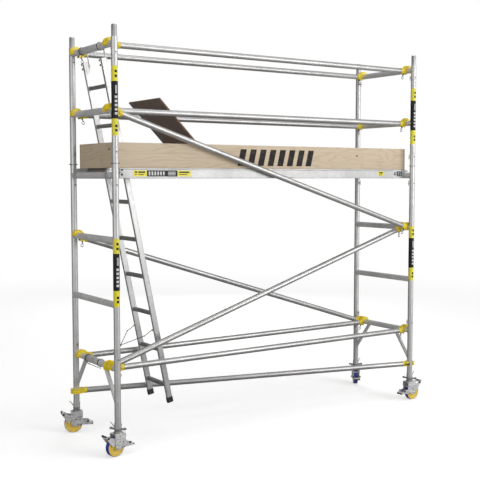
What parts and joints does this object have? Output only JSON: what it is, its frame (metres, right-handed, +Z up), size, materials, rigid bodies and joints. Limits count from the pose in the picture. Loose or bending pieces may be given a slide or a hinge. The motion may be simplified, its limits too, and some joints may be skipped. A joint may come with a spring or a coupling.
{
  "type": "mobile scaffold tower",
  "caption": "Mobile aluminium scaffold tower: two ladder frames joined by clawed braces, a decked platform with a hatch and toe boards, an inclined ladder and braked castors.",
  "frame": {"origin": "on the floor at the middle of the object's footprint, which lies midway between the posts in X and 32 mm behind their middle in Y, because the rear castors trail outwards", "axes": "+X along the tower away from the ladder end, +Y across it to the rear, +Z up"},
  "size_m": [3.4162, 0.9783, 3.319],
  "materials": {
    "tube": "satin, fine lengthwise extrusion lines",
    "frame_tube": "satin, greyer and lightly oxidised",
    "spigot": "satin",
    "cast_claw": "yellow powder coat",
    "trigger": "matt black",
    "pins": "dull zinc",
    "hook_casting": "as cast, grainy",
    "deck_ply": "dark phenolic film on birch plywood",
    "toe_board": "planed softwood",
    "hinge_steel": "zinc plated",
    "ladder_tube": "satin extrusion",
    "rubber": "matt",
    "zinc_steel": "zinc plated, faint spangle",
    "tyre_blue": "blue elastic rubber",
    "hub_yellow": "moulded nylon",
    "nut_iron": "galvanised malleable iron, darkened"
  },
  "bodies": {
    "tower": {"standards": "tube", "frame_rungs": "frame_tube", "knee_braces": "frame_tube", "spigots": "spigot", "lock_pins": "pins", "horizontal_rails": "tube", "diagonal_braces": "tube", "brace_claws": "cast_claw", "platform_beams": "tube", "platform_hooks": "hook_casting", "deck_panels": "deck_ply", "hatch_hinges": "hinge_steel", "toe_boards": "toe_board", "ladder_stiles": "ladder_tube", "ladder_rungs": "ladder_tube", "ladder_fittings": "zinc_steel", "ladder_rubbers": "rubber", "castor_stems": "zinc_steel"},
    "hatch": {"hatch": "deck_ply"},
    "ladder_stay": {"ladder_stay": "zinc_steel"},
    "trigger_top_near_l": {"trigger_top_near_l": "trigger"},
    "trigger_top_near_r": {"trigger_top_near_r": "trigger"},
    "trigger_top_rear_l": {"trigger_top_rear_l": "trigger"},
    "trigger_top_rear_r": {"trigger_top_rear_r": "trigger"},
    "trigger_mid_near_l": {"trigger_mid_near_l": "trigger"},
    "trigger_mid_near_r": {"trigger_mid_near_r": "trigger"},
    "trigger_mid_rear_l": {"trigger_mid_rear_l": "trigger"},
    "trigger_mid_rear_r": {"trigger_mid_rear_r": "trigger"},
    "trigger_base_near_l": {"trigger_base_near_l": "trigger"},
    "trigger_base_near_r": {"trigger_base_near_r": "trigger"},
    "trigger_base_rear_l": {"trigger_base_rear_l": "trigger"},
    "trigger_base_rear_r": {"trigger_base_rear_r": "trigger"},
    "trigger_upper_diag_l": {"trigger_upper_diag_l": "trigger"},
    "trigger_upper_diag_r": {"trigger_upper_diag_r": "trigger"},
    "trigger_lower_diag_l": {"trigger_lower_diag_l": "trigger"},
    "trigger_lower_diag_r": {"trigger_lower_diag_r": "trigger"},
    "trigger_rear_diag_l": {"trigger_rear_diag_l": "trigger"},
    "trigger_rear_diag_r": {"trigger_rear_diag_r": "trigger"},
    "trigger_plan_l": {"trigger_plan_l": "trigger"},
    "trigger_plan_r": {"trigger_plan_r": "trigger"},
    "fork_nl": {"fork_nl": "zinc_steel"},
    "wheel_nl": {"tyre_nl": "tyre_blue", "hub_nl": "hub_yellow"},
    "brake_nl": {"brake_nl": "zinc_steel"},
    "leg_nut_nl": {"leg_nut_nl": "nut_iron"},
    "fork_rl": {"fork_rl": "zinc_steel"},
    "wheel_rl": {"tyre_rl": "tyre_blue", "hub_rl": "hub_yellow"},
    "brake_rl": {"brake_rl": "zinc_steel"},
    "leg_nut_rl": {"leg_nut_rl": "nut_iron"},
    "fork_nr": {"fork_nr": "zinc_steel"},
    "wheel_nr": {"tyre_nr": "tyre_blue", "hub_nr": "hub_yellow"},
    "brake_nr": {"brake_nr": "zinc_steel"},
    "leg_nut_nr": {"leg_nut_nr": "nut_iron"},
    "fork_rr": {"fork_rr": "zinc_steel"},
    "wheel_rr": {"tyre_rr": "tyre_blue", "hub_rr": "hub_yellow"},
    "brake_rr": {"brake_rr": "zinc_steel"},
    "leg_nut_rr": {"leg_nut_rr": "nut_iron"}
  },
  "joints": [
    {"name": "hatch_hinge", "type": "hinge", "parent": "tower", "child": "hatch", "pos_m": [-0.549, -0.032, 2.2455], "axis": [0, 1, 0], "range_deg": [-45.2, 55]},
    {"name": "ladder_stay_pivot", "type": "hinge", "parent": "tower", "child": "ladder_stay", "pos_m": [-1.12601, -0.012, 0.90762], "axis": [0, 1, 0], "range_deg": [-58, 100]},
    {"name": "trigger_top_near_l_squeeze", "type": "hinge", "parent": "tower", "child": "trigger_top_near_l", "pos_m": [-1.5265, -0.337, 3.159], "axis": [0, -1, 0], "range_deg": [0, 45], "stiffness_Nm_per_rad": 0.05, "springref_deg": -17.19},
    {"name": "trigger_top_near_r_squeeze", "type": "hinge", "parent": "tower", "child": "trigger_top_near_r", "pos_m": [1.5265, -0.337, 3.159], "axis": [0, 1, 0], "range_deg": [0, 45], "stiffness_Nm_per_rad": 0.05, "springref_deg": -17.19},
    {"name": "trigger_top_rear_l_squeeze", "type": "hinge", "parent": "tower", "child": "trigger_top_rear_l", "pos_m": [-1.5265, 0.288, 3.159], "axis": [0, -1, 0], "range_deg": [0, 45], "stiffness_Nm_per_rad": 0.05, "springref_deg": -17.19},
    {"name": "trigger_top_rear_r_squeeze", "type": "hinge", "parent": "tower", "child": "trigger_top_rear_r", "pos_m": [1.5265, 0.288, 3.159], "axis": [0, 1, 0], "range_deg": [0, 45], "stiffness_Nm_per_rad": 0.05, "springref_deg": -17.19},
    {"name": "trigger_mid_near_l_squeeze", "type": "hinge", "parent": "tower", "child": "trigger_mid_near_l", "pos_m": [-1.5265, -0.329, 2.659], "axis": [0, -1, 0], "range_deg": [0, 45], "stiffness_Nm_per_rad": 0.05, "springref_deg": -17.19},
    {"name": "trigger_mid_near_r_squeeze", "type": "hinge", "parent": "tower", "child": "trigger_mid_near_r", "pos_m": [1.5265, -0.329, 2.659], "axis": [0, 1, 0], "range_deg": [0, 45], "stiffness_Nm_per_rad": 0.05, "springref_deg": -17.19},
    {"name": "trigger_mid_rear_l_squeeze", "type": "hinge", "parent": "tower", "child": "trigger_mid_rear_l", "pos_m": [-1.5265, 0.286, 2.659], "axis": [0, -1, 0], "range_deg": [0, 45], "stiffness_Nm_per_rad": 0.05, "springref_deg": -17.19},
    {"name": "trigger_mid_rear_r_squeeze", "type": "hinge", "parent": "tower", "child": "trigger_mid_rear_r", "pos_m": [1.5265, 0.286, 2.659], "axis": [0, 1, 0], "range_deg": [0, 45], "stiffness_Nm_per_rad": 0.05, "springref_deg": -17.19},
    {"name": "trigger_base_near_l_squeeze", "type": "hinge", "parent": "tower", "child": "trigger_base_near_l", "pos_m": [-1.5265, -0.352, 0.657], "axis": [0, -1, 0], "range_deg": [0, 45], "stiffness_Nm_per_rad": 0.05, "springref_deg": -17.19},
    {"name": "trigger_base_near_r_squeeze", "type": "hinge", "parent": "tower", "child": "trigger_base_near_r", "pos_m": [1.5265, -0.352, 0.657], "axis": [0, 1, 0], "range_deg": [0, 45], "stiffness_Nm_per_rad": 0.05, "springref_deg": -17.19},
    {"name": "trigger_base_rear_l_squeeze", "type": "hinge", "parent": "tower", "child": "trigger_base_rear_l", "pos_m": [-1.5265, 0.234, 0.657], "axis": [0, -1, 0], "range_deg": [0, 45], "stiffness_Nm_per_rad": 0.05, "springref_deg": -17.19},
    {"name": "trigger_base_rear_r_squeeze", "type": "hinge", "parent": "tower", "child": "trigger_base_rear_r", "pos_m": [1.5265, 0.234, 0.657], "axis": [0, 1, 0], "range_deg": [0, 45], "stiffness_Nm_per_rad": 0.05, "springref_deg": -17.19},
    {"name": "trigger_upper_diag_l_squeeze", "type": "hinge", "parent": "tower", "child": "trigger_upper_diag_l", "pos_m": [-1.53565, -0.377, 2.64612], "axis": [0, -1, 0], "range_deg": [0, 45], "stiffness_Nm_per_rad": 0.05, "springref_deg": -17.19},
    {"name": "trigger_upper_diag_r_squeeze", "type": "hinge", "parent": "tower", "child": "trigger_upper_diag_r", "pos_m": [1.52169, -0.377, 1.67205], "axis": [0, 1, 0], "range_deg": [0, 45], "stiffness_Nm_per_rad": 0.05, "springref_deg": -17.19},
    {"name": "trigger_lower_diag_l_squeeze", "type": "hinge", "parent": "tower", "child": "trigger_lower_diag_l", "pos_m": [-1.52169, -0.294, 0.67202], "axis": [0, -1, 0], "range_deg": [0, 45], "stiffness_Nm_per_rad": 0.05, "springref_deg": -17.19},
    {"name": "trigger_lower_diag_r_squeeze", "type": "hinge", "parent": "tower", "child": "trigger_lower_diag_r", "pos_m": [1.53563, -0.294, 1.64414], "axis": [0, 1, 0], "range_deg": [0, 45], "stiffness_Nm_per_rad": 0.05, "springref_deg": -17.19},
    {"name": "trigger_rear_diag_l_squeeze", "type": "hinge", "parent": "tower", "child": "trigger_rear_diag_l", "pos_m": [-1.53563, 0.286, 1.64414], "axis": [0, -1, 0], "range_deg": [0, 45], "stiffness_Nm_per_rad": 0.05, "springref_deg": -17.19},
    {"name": "trigger_rear_diag_r_squeeze", "type": "hinge", "parent": "tower", "child": "trigger_rear_diag_r", "pos_m": [1.52169, 0.286, 0.67202], "axis": [0, 1, 0], "range_deg": [0, 45], "stiffness_Nm_per_rad": 0.05, "springref_deg": -17.19},
    {"name": "trigger_plan_l_squeeze", "type": "hinge", "parent": "tower", "child": "trigger_plan_l", "pos_m": [-1.52227, 0.37155, 0.356], "axis": [0, 0, -1], "range_deg": [0, 45], "stiffness_Nm_per_rad": 0.05, "springref_deg": -17.19},
    {"name": "trigger_plan_r_squeeze", "type": "hinge", "parent": "tower", "child": "trigger_plan_r", "pos_m": [1.52227, -0.43555, 0.356], "axis": [0, 0, -1], "range_deg": [0, 45], "stiffness_Nm_per_rad": 0.05, "springref_deg": -17.19},
    {"name": "swivel_nl", "type": "hinge", "parent": "tower", "child": "fork_nl", "pos_m": [-1.5725, -0.4245, 0.18], "axis": [0, 0, 1], "continuous": true},
    {"name": "wheel_spin_nl", "type": "hinge", "parent": "fork_nl", "child": "wheel_nl", "pos_m": [-1.60213, -0.42919, 0.075], "axis": [0.1564, -0.9877, 0], "continuous": true},
    {"name": "brake_pedal_nl", "type": "hinge", "parent": "fork_nl", "child": "brake_nl", "pos_m": [-1.5804, -0.42575, 0.118], "axis": [0.1564, -0.9877, 0], "range_deg": [0, 18]},
    {"name": "leg_nut_turn_nl", "type": "hinge", "parent": "tower", "child": "leg_nut_nl", "pos_m": [-1.5725, -0.4245, 0.21], "axis": [0, 0, 1], "continuous": true},
    {"name": "swivel_rl", "type": "hinge", "parent": "tower", "child": "fork_rl", "pos_m": [-1.5725, 0.3605, 0.18], "axis": [0, 0, 1], "continuous": true},
    {"name": "wheel_spin_rl", "type": "hinge", "parent": "fork_rl", "child": "wheel_rl", "pos_m": [-1.60032, 0.37174, 0.075], "axis": [-0.3746, -0.9272, 0], "continuous": true},
    {"name": "brake_pedal_rl", "type": "hinge", "parent": "fork_rl", "child": "brake_rl", "pos_m": [-1.57992, 0.3635, 0.118], "axis": [-0.3746, -0.9272, 0], "range_deg": [0, 18]},
    {"name": "leg_nut_turn_rl", "type": "hinge", "parent": "tower", "child": "leg_nut_rl", "pos_m": [-1.5725, 0.3605, 0.21], "axis": [0, 0, 1], "continuous": true},
    {"name": "swivel_nr", "type": "hinge", "parent": "tower", "child": "fork_nr", "pos_m": [1.5725, -0.4245, 0.18], "axis": [0, 0, 1], "continuous": true},
    {"name": "wheel_spin_nr", "type": "hinge", "parent": "fork_nr", "child": "wheel_nr", "pos_m": [1.6025, -0.4245, 0.075], "axis": [0, 1, 0], "continuous": true},
    {"name": "brake_pedal_nr", "type": "hinge", "parent": "fork_nr", "child": "brake_nr", "pos_m": [1.5805, -0.4245, 0.118], "axis": [0, 1, 0], "range_deg": [0, 18]},
    {"name": "leg_nut_turn_nr", "type": "hinge", "parent": "tower", "child": "leg_nut_nr", "pos_m": [1.5725, -0.4245, 0.21], "axis": [0, 0, 1], "continuous": true},
    {"name": "swivel_rr", "type": "hinge", "parent": "tower", "child": "fork_rr", "pos_m": [1.5725, 0.3605, 0.18], "axis": [0, 0, 1], "continuous": true},
    {"name": "wheel_spin_rr", "type": "hinge", "parent": "fork_rr", "child": "wheel_rr", "pos_m": [1.58928, 0.38537, 0.075], "axis": [-0.829, 0.5592, 0], "continuous": true},
    {"name": "brake_pedal_rr", "type": "hinge", "parent": "fork_rr", "child": "brake_rr", "pos_m": [1.57697, 0.36713, 0.118], "axis": [-0.829, 0.5592, 0], "range_deg": [0, 18]},
    {"name": "leg_nut_turn_rr", "type": "hinge", "parent": "tower", "child": "leg_nut_rr", "pos_m": [1.5725, 0.3605, 0.21], "axis": [0, 0, 1], "continuous": true}
  ]
}
